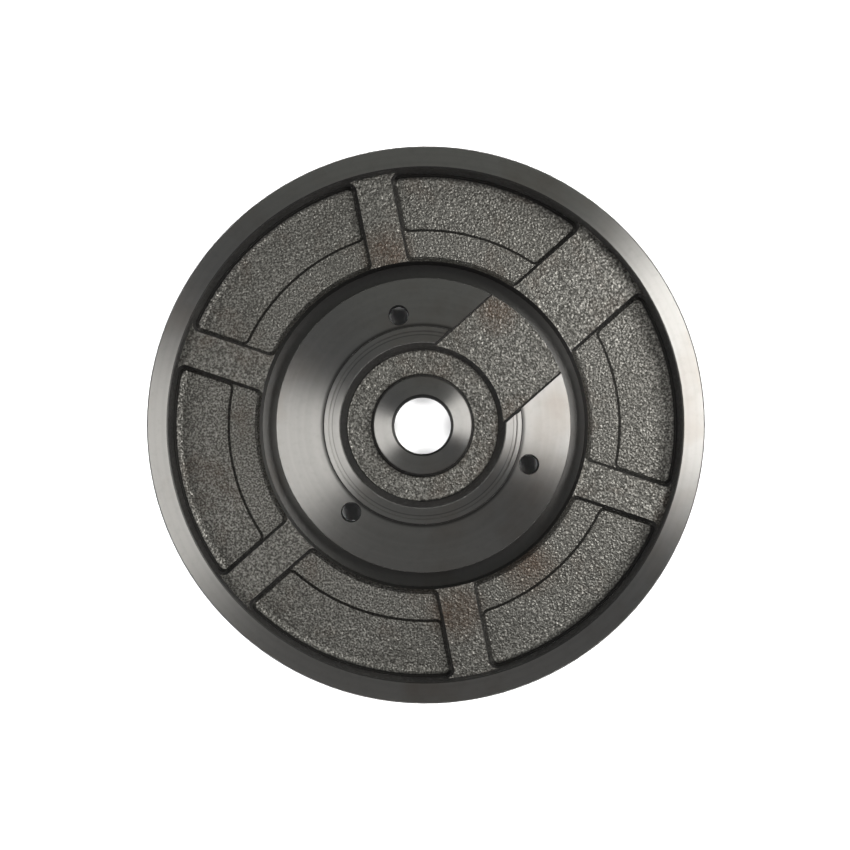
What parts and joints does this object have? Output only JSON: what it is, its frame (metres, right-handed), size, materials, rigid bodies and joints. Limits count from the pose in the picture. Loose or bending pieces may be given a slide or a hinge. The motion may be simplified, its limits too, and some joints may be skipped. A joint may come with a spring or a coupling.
{
  "type": "turbocharger compressor back plate",
  "caption": "Round cast-iron back plate of a turbocharger compressor, with a turned rim, ribbed pockets, a machined centre disc, a drain channel and a shaft bore.",
  "frame": {"origin": "on the bore axis, at the level of the flat compressor-side face that it rests on", "axes": "+Z along the bore from the compressor side to the bearing-housing side; the wide rib and the drain channel lie 41.5 degrees from +X towards +Y"},
  "size_m": [0.186, 0.186, 0.018],
  "materials": {
    "iron": "shot-blasted as cast, with bright turned faces on the rim, disc and hub"
  },
  "bodies": {
    "root": {"back_plate": "iron"}
  },
  "joints": []
}
